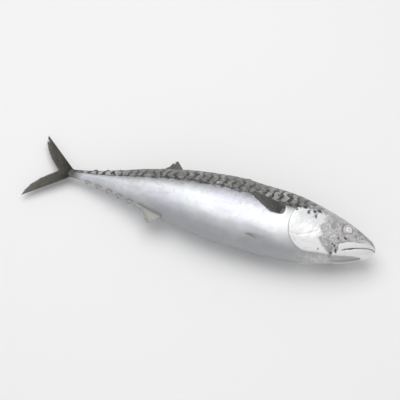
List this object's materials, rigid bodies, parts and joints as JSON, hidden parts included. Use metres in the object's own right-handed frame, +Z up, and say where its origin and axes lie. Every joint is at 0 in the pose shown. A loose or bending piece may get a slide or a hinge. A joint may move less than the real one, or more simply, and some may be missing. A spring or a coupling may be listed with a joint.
{
  "type": "whole raw mackerel",
  "caption": "Whole raw mackerel lying on its left flank: silver body, dark wavy bars on the back, forked tail, small finlets, head and eyes left on.",
  "frame": {"origin": "on the resting surface, under the middle of the fish's bounding box", "axes": "+X along the fish towards its snout, +Y towards its back, +Z up; the right flank is on top"},
  "size_m": [0.3602, 0.0834, 0.0532],
  "materials": {
    "skin": "wet silver skin, grey back with dark wavy bars",
    "back_fins": "wet thin membrane on rays",
    "belly_fins": "wet thin membrane on rays",
    "tail": "wet stiff rays",
    "eyes": "wet, clouded"
  },
  "bodies": {
    "root": {"body": "skin", "first_dorsal_fin": "back_fins", "second_dorsal_fin": "back_fins", "dorsal_finlet_1": "back_fins", "dorsal_finlet_2": "back_fins", "dorsal_finlet_3": "back_fins", "dorsal_finlet_4": "back_fins", "dorsal_finlet_5": "back_fins", "pectoral_fin_right": "back_fins", "pectoral_fin_left": "back_fins", "anal_fin": "belly_fins", "anal_finlet_1": "belly_fins", "anal_finlet_2": "belly_fins", "anal_finlet_3": "belly_fins", "anal_finlet_4": "belly_fins", "anal_finlet_5": "belly_fins", "pelvic_fin_right": "belly_fins", "pelvic_fin_left": "belly_fins", "tail_fin": "tail", "eye_right": "eyes", "eye_left": "eyes"}
  },
  "joints": []
}
